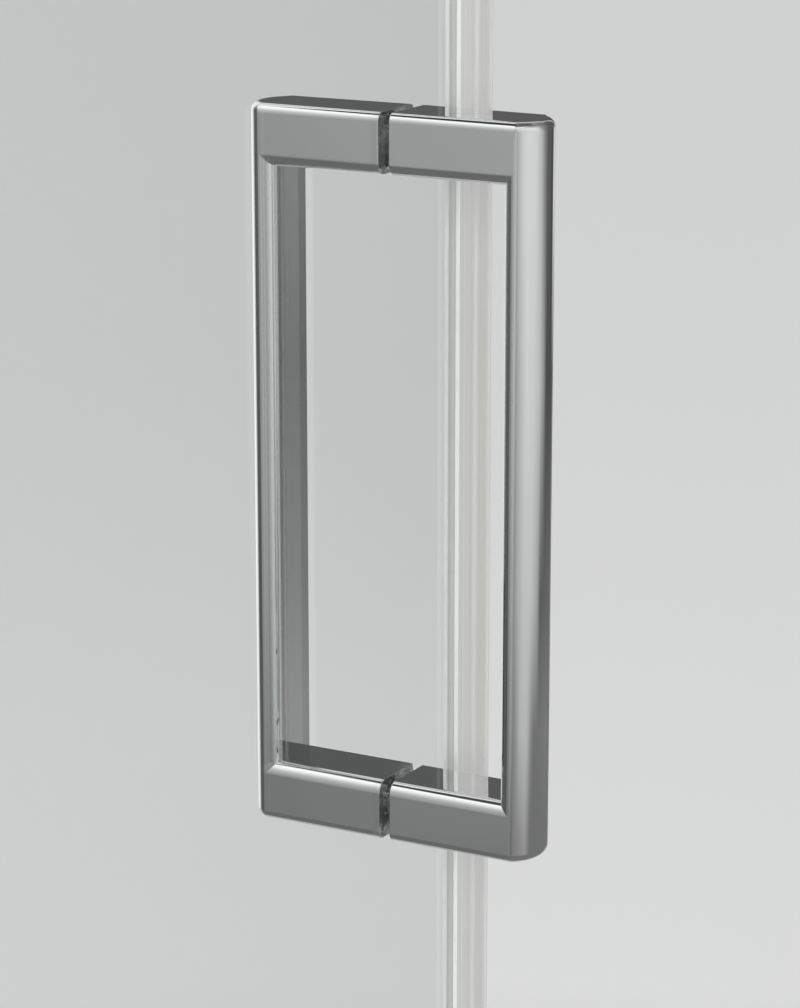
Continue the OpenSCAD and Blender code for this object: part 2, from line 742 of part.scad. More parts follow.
// A jaw in X and Z, with round lower corners and its top at z1
module jaw_outline(z1) {
    round_rect(-hanger_l / 2, pane_top - jaw_h, hanger_l / 2, z1, jaw_corner_r);
    rect(-hanger_l / 2, pane_top - jaw_h / 2, hanger_l / 2, z1);
}
module hanger(x) color("grey") translate([x, 0, 0]) difference() {
    union() {
        along_y(-plate_half, plate_half) {
            round_rect(-hanger_l / 2, bridge_z, hanger_l / 2, axle_z + plate_rise, jaw_corner_r);
            rect(-hanger_l / 2, bridge_z, hanger_l / 2, axle_z);
        }
        block([-hanger_l / 2, -jaw_y - jaw_t, bridge_z], [hanger_l / 2, jaw_y + clamp_t, bridge_z + bridge_t]);
        along_y(-jaw_y - jaw_t, -jaw_y) jaw_outline(bridge_z);
    }
    for (side = [-1, 1]) {
        pin_y(side * axle_pitch / 2, axle_z, -plate_half - over, plate_half + over, axle_d / 2);
        pin_y(side * bolt_pitch / 2, bolt_z, -jaw_y - jaw_t - over, over - jaw_y, bolt_d / 2);
    }
}
module hanger_trailing() hanger(hanger_x[0]);
module hanger_leading() hanger(hanger_x[1]);

module at_hangers() for (x = hanger_x) translate([x, 0, 0]) children();

module clamp_plates() color("grey") at_hangers() difference() {
    along_y(jaw_y, jaw_y + clamp_t) jaw_outline(pane_top);
    for (side = [-1, 1]) {
        pin_y(side * bolt_pitch / 2, bolt_z, jaw_y - over, jaw_y + clamp_t + over, bolt_d / 2 + fit_gap);
        pin_y(side * bolt_pitch / 2, bolt_z, jaw_y + clamp_t - bolt_head_t + fit_gap, jaw_y + clamp_t + over,
            bolt_head_r + fit_gap);
    }
}
module clamp_liners() color("black") at_hangers() for (side = [0, 1]) mirror([0, side, 0]) difference() {
    along_y(pane_y, jaw_y) jaw_outline(pane_top);
    for (end = [-1, 1]) pin_y(end * bolt_pitch / 2, bolt_z, pane_y - over, jaw_y + over, hole_r);
}
module clamp_bolts() color("lightgrey") at_hangers() for (end = [-1, 1]) {
    pin_y(end * bolt_pitch / 2, bolt_z, -jaw_y - jaw_t, jaw_y + clamp_t, bolt_d / 2);
    pin_y(end * bolt_pitch / 2, bolt_z, jaw_y + clamp_t - bolt_head_t + fit_gap, jaw_y + clamp_t, bolt_head_r);
}
module clamp_bushes() color("white") at_hangers() for (end = [-1, 1])
    ring_y(end * bolt_pitch / 2, bolt_z, -jaw_y, jaw_y, hole_r - shaft_gap, bolt_d / 2 + shaft_gap);

// A cover is an open box that snaps over the clamp plate from inside the shower
module hanger_covers() color("silver") at_hangers() {
    cover_x = hanger_l / 2 + cover_wall + fit_gap;
    cover_foot = pane_top - jaw_h - cover_wall - fit_gap;
    difference() {
        along_y(pane_y + fit_gap, cover_y)
            round_rect(-cover_x, cover_foot, cover_x, pane_top, cover_corner_r);
        block([-hanger_l / 2 - fit_gap, pane_y, cover_foot + cover_wall],
            [hanger_l / 2 + fit_gap, cover_y - cover_wall, pane_top + over]);
    }
}

// Blocks on the plates' tops run just under the rail's roof
module lift_stops() color("white") at_hangers() difference() {
    block([-lift_l / 2, -lift_half, axle_z + plate_rise - lift_hold], [lift_l / 2, lift_half, track_top - lift_gap]);
    block([-lift_l / 2 - over, -plate_half, axle_z], [lift_l / 2 + over, plate_half, axle_z + plate_rise]);
}

// Axles with riveted heads, and sleeves that the wheels turn on
sleeve_end = plate_half + sleeve_l;
axle_x = [hanger_x[0] - axle_pitch / 2, hanger_x[0] + axle_pitch / 2,
    hanger_x[1] - axle_pitch / 2, hanger_x[1] + axle_pitch / 2];
module axles() color("lightgrey") for (x = axle_x) {
    pin_y(x, axle_z, -sleeve_end, sleeve_end, axle_d / 2);
    for (side = [0, 1]) mirror([0, side, 0]) pin_y(x, axle_z, sleeve_end, sleeve_end + rivet_t, rivet_r);
}
module bearing_sleeves() color("silver") for (x = axle_x, side = [0, 1]) mirror([0, side, 0])
    ring_y(x, axle_z, plate_half, sleeve_end, sleeve_r, axle_d / 2 + shaft_gap);

// Wheel profile in radius and width, with the groove that runs round the bead
module wheel(i) color("white") for (side = [-1, 1])
    translate([axle_x[i], side * wheel_y, axle_z]) rotate([90, 0, 0]) rotate_extrude($fn = 96) difference() {
        rect(bearing_r, -wheel_w / 2, wheel_r, wheel_w / 2);
        translate([wheel_r + wheel_gap, 0]) circle(groove_r);
    }
module wheel_bearing(i) color("silver") for (side = [-1, 1])
    ring_y(axle_x[i], axle_z, side * wheel_y - bearing_w / 2, side * wheel_y + bearing_w / 2,
        bearing_r, sleeve_r + shaft_gap);
module wheel_1() wheel(0);
module wheel_2() wheel(1);
module wheel_3() wheel(2);
module wheel_4() wheel(3);
module wheel_bearing_1() wheel_bearing(0);
module wheel_bearing_2() wheel_bearing(1);
module wheel_bearing_3() wheel_bearing(2);
module wheel_bearing_4() wheel_bearing(3);

// Bottom guide: a housing on the pane's lower edge, with a sprung shoe that runs in the slot
module at_guides() for (x = guide_x) translate([x, 0, 0]) children();
guide_side = foot_l / 2 + slide_gap;
knob_slot_r = knob_stem_r + slide_gap;
module guide_housings() color("silver") at_guides() difference() {
    along_y(-pane_y - guide_jaw, guide_y)
        round_rect(-guide_l / 2, guide_foot, guide_l / 2, guide_top, cover_corner_r);
    block([-guide_l / 2 - over, -pane_y, pane_foot], [guide_l / 2 + over, pane_y, guide_top + over]);
    block([-guide_side, -pane_y - guide_jaw - over, guide_foot - over], [guide_side, pane_y, pane_foot]);
    block([-guide_side, -pane_y, guide_foot - over], [guide_side, cavity_y1, pane_foot - over]);
    block([-cavity_half, cavity_y0, guide_foot], [cavity_half, cavity_y1, guide_top - cavity_roof]);
    along_y(cavity_y1 - over, guide_y + over) {
        rect(-knob_slot_r, knob_z - slide_gap, knob_slot_r, knob_z + guide_lift + slide_gap);
        for (z = [knob_z - slide_gap, knob_z + guide_lift + slide_gap]) translate([0, z]) circle(knob_slot_r);
    }
    for (side = [-1, 1])
        pin_y(side * guide_bolt_x, guide_bolt_z, -pane_y - guide_jaw - over, guide_y + over, guide_bolt_r + fit_gap);
    for (side = [-1, 1])
        pin_y(side * guide_bolt_x, guide_bolt_z, guide_y - guide_head_t, guide_y + over, guide_head_r + fit_gap);
}
module guide_bolts() color("lightgrey") at_guides() for (side = [-1, 1]) {
    pin_y(side * guide_bolt_x, guide_bolt_z, -pane_y - guide_jaw, guide_y, guide_bolt_r);
    pin_y(side * guide_bolt_x, guide_bolt_z, guide_y - guide_head_t, guide_y, guide_head_r);
}
module guide_bushes() color("white") at_guides() for (side = [-1, 1])
    ring_y(side * guide_bolt_x, guide_bolt_z, -pane_y, pane_y, guide_hole_r - shaft_gap, guide_bolt_r + shaft_gap);

// The shoe's foot is in the slot, an arm passes over the fin, and the slider is in the housing
foot_y = guide_slot - slide_gap;
arm_foot = fin_h + foot_over;
module guide_shoe(i) color("white") translate([guide_x[i], 0, 0]) difference() {
    union() {
        along_y(-foot_y, foot_y) round_rect(-foot_l / 2, foot_z, foot_l / 2, arm_foot + foot_t, foot_t);
        block([slide_gap - cavity_half, 0, arm_foot], [cavity_half - slide_gap, cavity_y1 - slide_gap, arm_foot + foot_t]);
        block([slide_gap - cavity_half, cavity_y0 + slide_gap, arm_foot],
            [cavity_half - slide_gap, cavity_y1 - slide_gap, slider_top]);
    }
    pin_y(0, knob_z, cavity_y0, cavity_y1 + over, knob_stem_r + shaft_gap);
}
module guide_shoe_trailing() guide_shoe(0);
module guide_shoe_leading() guide_shoe(1);

// The knob is a finger pad with cross ribs on a round stem
knob_y = guide_y + knob_gap;
module release_knob(i) color("silver") translate([guide_x[i], 0, knob_z]) {
    pin_y(0, 0, cavity_y0 + slide_gap, knob_y + over, knob_stem_r);
    along_y(knob_y, knob_y + knob_t) round_rect(-knob_w / 2, -knob_h / 2, knob_w / 2, knob_h / 2, knob_stem_r);
    for (n = [1:knob_ribs]) {
        z = knob_h * (n / (knob_ribs + 1) - 0.5);
        pin_x(knob_y + knob_t, z, knob_stem_r - knob_w / 2, knob_w / 2 - knob_stem_r, knob_rib_r);
    }
}
module release_knob_trailing() release_knob(0);
module release_knob_leading() release_knob(1);

// Spring as one round wire swept along a helix, from the slider up to the housing's roof
spring_x0 = slider_top + wire_d / 2;
spring_x1 = guide_top - cavity_roof - wire_d / 2;
module guide_spring(i) color("grey") translate([guide_x[i], (cavity_y0 + cavity_y1) / 2, 0]) {
    steps = spring_turns * rings_per_turn;
    points = [for (n = [0:steps], k = [0:ring_sides - 1])
        let (a = 360 * n / rings_per_turn, b = 360 * k / ring_sides, r = spring_r + wire_d / 2 * cos(b))
        [r * cos(a), r * sin(a), spring_x0 + (spring_x1 - spring_x0) * n / steps + wire_d / 2 * sin(b)]];
    walls = [for (n = [0:steps - 1], k = [0:ring_sides - 1])
        let (m = (k + 1) % ring_sides, a = n * ring_sides, b = a + ring_sides)
        each [[a + k, b + m, a + m], [a + k, b + k, b + m]]];
    ends = [for (k = [1:ring_sides - 2]) each [[0, k, k + 1],
        [steps * ring_sides, steps * ring_sides + k + 1, steps * ring_sides + k]]];
    polyhedron(points, concat(walls, ends));
}
module guide_spring_trailing() guide_spring(0);
module guide_spring_leading() guide_spring(1);

wall_channel_fixed();
wall_channel_closing();
jamb_fixed();
jamb_closing();
glazing_channel();
profile_caps();
top_rail();
bottom_rail();
rail_screws();
jamb_screws();
screw_caps();
fixed_glass();
glazing_gaskets();
setting_blocks();
overlap_seal();
jamb_magnet_holder();
jamb_magnet();
stop_blocks();
stop_buffers();
stop_screws();
door_glass();
closing_seal();
closing_magnet();
trailing_seal();
drip_seal();
handle_outer();
handle_inner();
handle_studs();
handle_bushes();
handle_gaskets();
handle_grub_screws();
hanger_trailing();
hanger_leading();
clamp_plates();
clamp_liners();
clamp_bolts();
clamp_bushes();
hanger_covers();
lift_stops();
axles();
bearing_sleeves();
wheel_1();
wheel_2();
wheel_3();
wheel_4();
wheel_bearing_1();
wheel_bearing_2();
wheel_bearing_3();
wheel_bearing_4();
guide_housings();
guide_bolts();
guide_bushes();
guide_shoe_trailing();
guide_shoe_leading();
release_knob_trailing();
release_knob_leading();
guide_spring_trailing();
guide_spring_leading();
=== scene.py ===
# %% [markdown]
# # A sliding shower door
# The part is an in-line door for a niche: a fixed pane, and a clear sliding pane that hangs on
# rollers in a top track. The picture shows a close look at its handle, two chromed halves back to
# back on the clear pane, beside the clear magnetic seal. Every solid of the CAD model is loaded
# first, so that each piece made here has the place and the size that the CAD gives it.

# %% Load the frame
import json
import math
import bmesh
import bpy
from mathutils import Matrix, Vector


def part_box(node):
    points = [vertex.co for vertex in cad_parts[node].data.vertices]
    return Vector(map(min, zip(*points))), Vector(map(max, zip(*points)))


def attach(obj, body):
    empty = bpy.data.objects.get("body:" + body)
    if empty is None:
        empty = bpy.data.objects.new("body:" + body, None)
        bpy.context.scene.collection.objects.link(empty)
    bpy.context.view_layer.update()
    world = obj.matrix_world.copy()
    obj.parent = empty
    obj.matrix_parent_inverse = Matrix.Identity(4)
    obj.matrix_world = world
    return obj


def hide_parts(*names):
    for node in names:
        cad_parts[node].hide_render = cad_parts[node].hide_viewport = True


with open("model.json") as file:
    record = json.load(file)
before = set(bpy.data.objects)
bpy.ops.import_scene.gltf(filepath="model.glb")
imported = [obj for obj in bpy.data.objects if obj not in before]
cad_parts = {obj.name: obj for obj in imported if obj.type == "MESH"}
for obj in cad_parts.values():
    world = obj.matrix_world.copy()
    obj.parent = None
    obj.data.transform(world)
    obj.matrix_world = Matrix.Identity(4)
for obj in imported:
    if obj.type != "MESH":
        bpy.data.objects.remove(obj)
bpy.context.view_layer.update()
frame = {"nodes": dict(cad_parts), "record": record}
NODES = frame["nodes"]
SLOT_OF = {row["node"]: row["material_slot"] for row in frame["record"]["subparts"]}
MM = 0.001
NEAR = 0.01 * MM
FACING = 0.9
print("nodes:", len(NODES), "slots:", len(set(SLOT_OF.values())))

# %% [markdown]
# ## The camera
# It stands outside the shower, to the left of the handle and above it, and looks down and inward.
# A long lens keeps the handle's upright lines nearly parallel. Its place is measured from the
# handle, so it follows if the CAD model changes. An upright picture's long side is its height,
# which the automatic sensor fit lays over the full 36 mm.

# %% Camera
HANDLE_LOW, HANDLE_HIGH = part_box("handle_outer")
HANDLE_MID = (HANDLE_LOW + HANDLE_HIGH) / 2
HANDLE_FACE = Vector((HANDLE_LOW.x, 0, HANDLE_MID.z))
CAMERA_OFFSET = Vector((-863.8, -484.8, 247.1)) * MM
LOOK = Vector((0.84805, 0.46882, -0.24702))
LENS, SENSOR = 125.39, 36
camera_data = bpy.data.cameras.new("camera")
camera_data.lens = LENS
camera_data.sensor_width = SENSOR
camera_data.clip_start = 0.05
camera_data.clip_end = 200
camera = bpy.data.objects.new("camera", camera_data)
bpy.context.scene.collection.objects.link(camera)
camera.location = HANDLE_FACE + CAMERA_OFFSET
camera.rotation_euler = LOOK.to_track_quat("-Z", "Y").to_euler()
bpy.context.scene.camera = camera
bpy.context.scene.view_settings.view_transform = "Standard"
print("camera at", tuple(round(v, 3) for v in camera.location))

# %% [markdown]
# ## Small helpers
# A mesh becomes an object that sits at the origin, as the CAD solids do, so that a pattern on
# object coordinates lies the same way on all of them. For the finishes, one helper sets a shader
# node's settings and sockets in one call, another maps a range of a pattern onto a range that the
# finish needs, and a third mixes two colours by a share.

# %% Helpers for objects
def add_object(name, mesh):
    obj = bpy.data.objects.new(name, mesh)
    bpy.context.scene.collection.objects.link(obj)
    return obj


def mesh_from(bm, name):
    mesh = bpy.data.meshes.new(name)
    bm.to_mesh(mesh)
    bm.free()
    return mesh


# %% Helpers for shader nodes
def new_material(name):
    material = bpy.data.materials.new(name)
    material.use_nodes = True
    tree = material.node_tree
    shader = tree.nodes["Principled BSDF"]
    return material, tree, shader


def add_node(tree, kind, **values):
    node = tree.nodes.new(kind)
    for key, value in values.items():
        if hasattr(node, key):
            setattr(node, key, value)
        else:
            node.inputs[key.replace("_", " ")].default_value = value
    return node


def spread(tree, value, low, high, start, end):
    node = add_node(tree, "ShaderNodeMapRange", From_Min=start, From_Max=end, To_Min=low,
                    To_Max=high)
    tree.links.new(value, node.inputs["Value"])
    return node.outputs[0]


def blend_colors(tree, share, first, second):
    mix = add_node(tree, "ShaderNodeMix", data_type="RGBA")
    tree.links.new(share, mix.inputs["Factor"])
    for socket, value in ((mix.inputs[6], first), (mix.inputs[7], second)):
        if isinstance(value, tuple):
            socket.default_value = value
        else:
            tree.links.new(value, socket)
    return mix.outputs[2]


# %% [markdown]
# ## The studio
# A plain pale floor and a plain pale world light the door evenly, and two wide lamps, one overhead
# and one on the camera's side, give it soft shadows. The floor's share of extra brightness goes
# only to rays that look at it straight, through the glass or in a mirror, so it lights nothing.

# %% The rays that see the backdrop
def background_share(tree):
    path = add_node(tree, "ShaderNodeLightPath")
    first = add_node(tree, "ShaderNodeMath", operation="MAXIMUM")
    second = add_node(tree, "ShaderNodeMath", operation="MAXIMUM")
    tree.links.new(path.outputs["Is Camera Ray"], first.inputs[0])
    tree.links.new(path.outputs["Is Transmission Ray"], first.inputs[1])
    tree.links.new(first.outputs[0], second.inputs[0])
    tree.links.new(path.outputs["Is Glossy Ray"], second.inputs[1])
    return second.outputs[0]


# %% World
WORLD_LIGHT, WORLD_SEEN = 0.60, 0.86
world = bpy.data.worlds.new("studio")
bpy.context.scene.world = world
world.use_nodes = True
sky = world.node_tree
background = sky.nodes["Background"]
sky.links.new(spread(sky, background_share(sky), WORLD_LIGHT, WORLD_SEEN, 0, 1),
              background.inputs["Strength"])
background.inputs["Color"].default_value = (0.98, 0.99, 1.0, 1)
print("the world lights at", WORLD_LIGHT, "and is seen at", WORLD_SEEN)

# %% Floor
FLOOR_REACH, FLOOR_GLOW = 60, 0.12
bm = bmesh.new()
bmesh.ops.create_grid(bm, x_segments=8, y_segments=8, size=FLOOR_REACH)
floor = add_object("floor", mesh_from(bm, "floor"))
floor_material, tree, shader = new_material("pale_floor")
shader.inputs["Base Color"].default_value = (0.82, 0.82, 0.81, 1)
shader.inputs["Roughness"].default_value = 0.7
shader.inputs["Specular IOR Level"].default_value = 0.2
shader.inputs["Emission Color"].default_value = (1, 1, 1, 1)
tree.links.new(spread(tree, background_share(tree), 0, FLOOR_GLOW, 0, 1),
               shader.inputs["Emission Strength"])
floor.data.materials.append(floor_material)
print("floor reaches", FLOOR_REACH, "m each way")

# %% Lamps
def area_lamp(name, place, aim, size, power):
    data = bpy.data.lights.new(name, "AREA")
    data.shape = "RECTANGLE"
    data.size, data.size_y = size
    data.energy = power
    lamp = bpy.data.objects.new(name, data)
    lamp.location = place
    lamp.rotation_euler = (Vector(aim) - Vector(place)).to_track_quat("-Z", "Y").to_euler()
    lamp.visible_glossy = False
    bpy.context.scene.collection.objects.link(lamp)


area_lamp("overhead", (-0.3, -0.8, 3.8), (0.1, 0, 0.8), (2.6, 2.6), 30)
area_lamp("camera_side", (-3.0, -0.9, 2.0), HANDLE_FACE, (1.6, 2.0), 46)
print("two lamps")

# %% [markdown]
# ## Cards for the chrome
# Chrome has no colour of its own: it shows what stands round it. A product photographer sets grey
# cards and one wide white screen overhead, and these give the metal its dark and light bands. Here
# a closed round wall of cards stands about the handle, and only reflected rays see it. Each level
# of the wall, named by its rise over the handle for each metre out, has its own greys round the
# compass, written as they look on a screen, from 0 to 255, and turned into the strength of their
# light. Chrome gives back 0.87 of it, so the cards are brighter by that share. High up is the
# white screen, and the dark studio ceiling shows above it.

# %% Card levels
CARD_RADIUS = 2.2
CARD_FOOT, CARD_TOP = 0.004, 3.2
CHROME_SHARE = 0.87
WHITE_SCREEN = {0: 140, 30: 190, 50: 255, 250: 255, 275: 150, 300: 125, 330: 140}
CARD_LEVELS = [
    (-0.47, {0: 170, 20: 180, 75: 180, 100: 100, 180: 100, 230: 110, 345: 110}),
    (-0.40, {10: 110, 20: 160, 34: 245, 62: 245, 76: 80, 135: 80, 151: 125, 208: 110, 237: 130,
             261: 150, 275: 110, 345: 110}),
    (-0.356, {10: 105, 24: 120, 34: 250, 62: 250, 76: 70, 135: 70, 151: 125, 171: 140, 191: 145,
              208: 125, 230: 130, 245: 175, 261: 180, 269: 165, 277: 130, 287: 110, 341: 120}),
    (-0.295, {5: 100, 24: 100, 34: 255, 62: 255, 76: 70, 135: 70, 151: 140, 171: 155, 191: 160,
              208: 140, 224: 140, 237: 170, 251: 190, 271: 190, 287: 170, 296: 150, 304: 90,
              345: 100}),
    (-0.20, {0: 70, 24: 85, 34: 255, 62: 255, 76: 70, 135: 75, 151: 145, 171: 165, 191: 180,
             208: 155, 226: 150, 240: 185, 255: 205, 277: 200, 295: 185, 309: 150, 322: 75,
             345: 75}),
    (-0.12, {0: 240, 8: 240, 18: 130, 34: 255, 62: 255, 76: 75, 135: 80, 151: 150, 171: 170,
             191: 180, 208: 160, 226: 165, 240: 200, 255: 210, 277: 205, 295: 180, 307: 135,
             319: 90, 335: 85, 346: 60, 352: 110}),
    (0.05, {0: 90, 34: 90, 41: 245, 62: 245, 76: 75, 135: 80, 146: 160, 165: 160, 208: 165,
            240: 195, 262: 210, 285: 205, 305: 120, 320: 85}),
    (0.35, {0: 85, 34: 85, 41: 245, 60: 245, 76: 75, 132: 80, 146: 180, 208: 180, 262: 220,
            280: 220, 300: 140, 330: 85}),
    (0.66, {0: 85, 33: 90, 42: 245, 62: 245, 80: 110, 130: 170, 146: 215, 208: 200, 262: 225,
            280: 220, 300: 150, 330: 90}),
    (0.82, {0: 150, 20: 245, 60: 250, 85: 160, 130: 225, 146: 240, 208: 205, 262: 215, 285: 190,
            310: 130, 340: 100}),
    (1.18, {0: 120, 30: 150, 60: 150, 85: 200, 120: 255, 150: 255, 208: 225, 262: 190, 285: 130,
            330: 125}),
    (1.42, WHITE_SCREEN),
    (1.64, WHITE_SCREEN),
    (1.74, {0: 90, 40: 90, 66: 40, 116: 40, 140: 90, 250: 110, 300: 90})]
print("card levels:", len(CARD_LEVELS))


# %% Greys round the compass
def light_of(grey):
    share = grey / 255
    return share / 12.92 if share < 0.04045 else ((share + 0.055) / 1.055) ** 2.4


def compass_ramp(tree, turn, table):
    ramp = tree.nodes.new("ShaderNodeValToRGB")
    stops = ramp.color_ramp.elements
    places = sorted((((angle + 180) % 360) / 360, grey) for angle, grey in table.items())
    while len(stops) > 1:
        stops.remove(stops[0])
    stops[0].position = places[0][0]
    for place, _ in places[1:]:
        stops.new(place)
    for stop, (place, grey) in zip(stops, places):
        level = light_of(grey) / CHROME_SHARE
        stop.color = (level, level, level, 1)
    tree.links.new(turn, ramp.inputs["Fac"])
    return ramp.outputs["Color"]


# %% Compass and rise of a place on the cards
def compass_and_rise(tree, centre):
    coords = add_node(tree, "ShaderNodeTexCoord")
    mapping = add_node(tree, "ShaderNodeMapping")
    mapping.inputs["Location"].default_value = -centre
    tree.links.new(coords.outputs["Object"], mapping.inputs["Vector"])
    turn = add_node(tree, "ShaderNodeTexGradient", gradient_type="RADIAL")
    tree.links.new(mapping.outputs[0], turn.inputs["Vector"])
    place = add_node(tree, "ShaderNodeSeparateXYZ")
    tree.links.new(mapping.outputs[0], place.inputs[0])
    flat = add_node(tree, "ShaderNodeCombineXYZ")
    tree.links.new(place.outputs["X"], flat.inputs["X"])
    tree.links.new(place.outputs["Y"], flat.inputs["Y"])
    reach = add_node(tree, "ShaderNodeVectorMath", operation="LENGTH")
    tree.links.new(flat.outputs[0], reach.inputs[0])
    rise = add_node(tree, "ShaderNodeMath", operation="DIVIDE")
    tree.links.new(place.outputs["Z"], rise.inputs[0])
    tree.links.new(reach.outputs["Value"], rise.inputs[1])
    return turn.outputs["Fac"], rise.outputs[0]


# %% Card shading
cards_material = bpy.data.materials.new("reflection_cards")
cards_material.use_nodes = True
tree = cards_material.node_tree
tree.nodes.clear()
turn, rise = compass_and_rise(tree, HANDLE_MID)
shade = compass_ramp(tree, turn, CARD_LEVELS[0][1])
for (below, _), (level, table) in zip(CARD_LEVELS, CARD_LEVELS[1:]):
    shade = blend_colors(tree, spread(tree, rise, 0, 1, below, level), shade,
                         compass_ramp(tree, turn, table))
emission = add_node(tree, "ShaderNodeEmission")
tree.links.new(shade, emission.inputs["Color"])
unseen = add_node(tree, "ShaderNodeBsdfTransparent")
path = add_node(tree, "ShaderNodeLightPath")
pick = add_node(tree, "ShaderNodeMixShader")
tree.links.new(path.outputs["Glossy Depth"], pick.inputs["Fac"])
tree.links.new(unseen.outputs[0], pick.inputs[1])
tree.links.new(emission.outputs[0], pick.inputs[2])
output = add_node(tree, "ShaderNodeOutputMaterial")
tree.links.new(pick.outputs[0], output.inputs["Surface"])
cards_material.cycles.emission_sampling = "NONE"
print("card shading blends", len(CARD_LEVELS), "levels")

# %% Card wall
bm = bmesh.new()
bmesh.ops.create_cone(bm, cap_ends=True, cap_tris=False, segments=96, radius1=CARD_RADIUS,
                      radius2=CARD_RADIUS, depth=CARD_TOP - CARD_FOOT)
card_middle = (HANDLE_MID.x, HANDLE_MID.y, (CARD_TOP + CARD_FOOT) / 2)
bmesh.ops.translate(bm, verts=bm.verts, vec=card_middle)
cards = add_object("reflection_cards", mesh_from(bm, "reflection_cards"))
cards.data.materials.append(cards_material)
cards.visible_camera = False
cards.visible_diffuse = False
cards.visible_shadow = False
print("cards round", tuple(round(v, 3) for v in HANDLE_MID))

# %% [markdown]
# ## Finishes
# Each finish is drawn by noise on object coordinates, in metres, so its grain has a real size. A
# Mapping node stretches the noise into lines along the way that the metal was drawn, the plastic
# was extruded or the shaft was turned. The noise moves the roughness and a very small bump, and a
# little of the colour: this is what tells polished metal from a mirror, and rubber from plastic.

# %% Grain and bump
def grain(tree, per_metre, detail=3.0, rough=0.55, shift=0.0):
    coords = add_node(tree, "ShaderNodeTexCoord")
    mapping = add_node(tree, "ShaderNodeMapping")
    mapping.inputs["Scale"].default_value = per_metre
    mapping.inputs["Location"].default_value = (shift, shift, shift)
    tree.links.new(coords.outputs["Object"], mapping.inputs["Vector"])
    noise = add_node(tree, "ShaderNodeTexNoise", Scale=1.0, Detail=detail, Roughness=rough)
    tree.links.new(mapping.outputs[0], noise.inputs["Vector"])
    return noise.outputs["Fac"]


def bump(tree, shader, height, strength, depth):
    node = add_node(tree, "ShaderNodeBump", Strength=strength, Distance=depth)
    tree.links.new(height, node.inputs["Height"])
    tree.links.new(node.outputs[0], shader.inputs["Normal"])


def rgba(*color):
    return (*color, 1)


MATERIALS = {}

# %% [markdown]
# ## Chrome
# Chromed brass is almost a mirror. Wiping leaves soft patches where it is a touch less sharp, and
# polishing leaves hairlines that only the roughness shows. The flat ends of the handle's arms lie
# against the pads, where no hand or cloth reaches: they keep the full mirror, and their colour is
# painted darker, a painted shade that darkens the narrow gap between the two halves.

# %% Chrome
def chrome(name, bright, dim, sharp, dull, line):
    material, tree, shader = new_material(name)
    shader.inputs["Metallic"].default_value = 1
    wiped = grain(tree, (38, 38, 26), detail=4)
    hairline = grain(tree, (900, 900, 14), detail=2, shift=3.1)
    tree.links.new(blend_colors(tree, spread(tree, wiped, 0, 1, 0.35, 0.7), bright, dim),
                   shader.inputs["Base Color"])
    worn = add_node(tree, "ShaderNodeMath", operation="ADD")
    tree.links.new(spread(tree, wiped, sharp, dull, 0.3, 0.75), worn.inputs[0])
    tree.links.new(spread(tree, hairline, 0.0, line, 0.55, 0.8), worn.inputs[1])
    tree.links.new(worn.outputs[0], shader.inputs["Roughness"])
    return material


MATERIALS["chrome"] = chrome("chrome", rgba(0.875, 0.88, 0.885), rgba(0.86, 0.868, 0.875),
                             0.022, 0.045, 0.006)
# Painted shade: the arm ends' chrome has a darker base colour, to darken the gap between the
# halves.
DARKENED_ARM_END_CHROME = chrome("arm_end_chrome_painted_shade", rgba(0.70, 0.705, 0.71), rgba(0.62, 0.625, 0.63),
                     0.0, 0.004, 0.001)
print("chrome ready")

# %% [markdown]
# ## Bright aluminium
# The rails and jambs are extruded, polished and anodised. The die draws fine lines along each
# profile, across in the rails and upright in the jambs, so the same recipe is made twice.

# %% Bright aluminium
def bright_aluminium(name, along):
    material, tree, shader = new_material(name)
    shader.inputs["Metallic"].default_value = 1
    per_metre = [1400, 1400, 1400]
    per_metre["XYZ".index(along)] = 3
    drawn = grain(tree, per_metre, detail=5, rough=0.65)
    cloud = grain(tree, (7, 7, 7), detail=2, shift=1.7)
    tone = blend_colors(tree, spread(tree, drawn, 0, 1, 0.3, 0.7), rgba(0.76, 0.765, 0.775),
                        rgba(0.84, 0.845, 0.85))
    tree.links.new(tone, shader.inputs["Base Color"])
    dull = add_node(tree, "ShaderNodeMath", operation="ADD")
    tree.links.new(spread(tree, drawn, 0.10, 0.20, 0.3, 0.7), dull.inputs[0])
    tree.links.new(spread(tree, cloud, 0.0, 0.05, 0.35, 0.7), dull.inputs[1])
    tree.links.new(dull.outputs[0], shader.inputs["Roughness"])
    bump(tree, shader, drawn, 0.12, 0.04 * MM)
    return material


MATERIALS["polished_aluminium"] = bright_aluminium("polished_aluminium", "X")
UPRIGHT_ALUMINIUM = bright_aluminium("polished_aluminium_upright", "Z")
print("aluminium ready, along X and along Z")

# %% [markdown]
# ## Steel
# Screws, axles, springs and carriage plates are stainless steel: greyer than chrome, rolled or
# turned, with a short broken grain.

# %% Steel
material, tree, shader = new_material("steel")
shader.inputs["Metallic"].default_value = 1
rolled = grain(tree, (90, 700, 700), detail=4, rough=0.6)
stain = grain(tree, (60, 60, 60), detail=3, shift=5.3)
tree.links.new(blend_colors(tree, spread(tree, stain, 0, 1, 0.35, 0.7), rgba(0.62, 0.61, 0.60),
                            rgba(0.53, 0.53, 0.525)), shader.inputs["Base Color"])
tree.links.new(spread(tree, rolled, 0.2, 0.36, 0.3, 0.7), shader.inputs["Roughness"])
bump(tree, shader, rolled, 0.15, 0.05 * MM)
MATERIALS["steel"] = material
print("steel ready")

# %% [markdown]
# ## Safety glass
# A pane is clear face on and green along its edge, because light there has a long way to go
# through it. A volume that takes a little red out for each metre does both. The faces carry the
# faintest dried water marks, in the roughness alone.

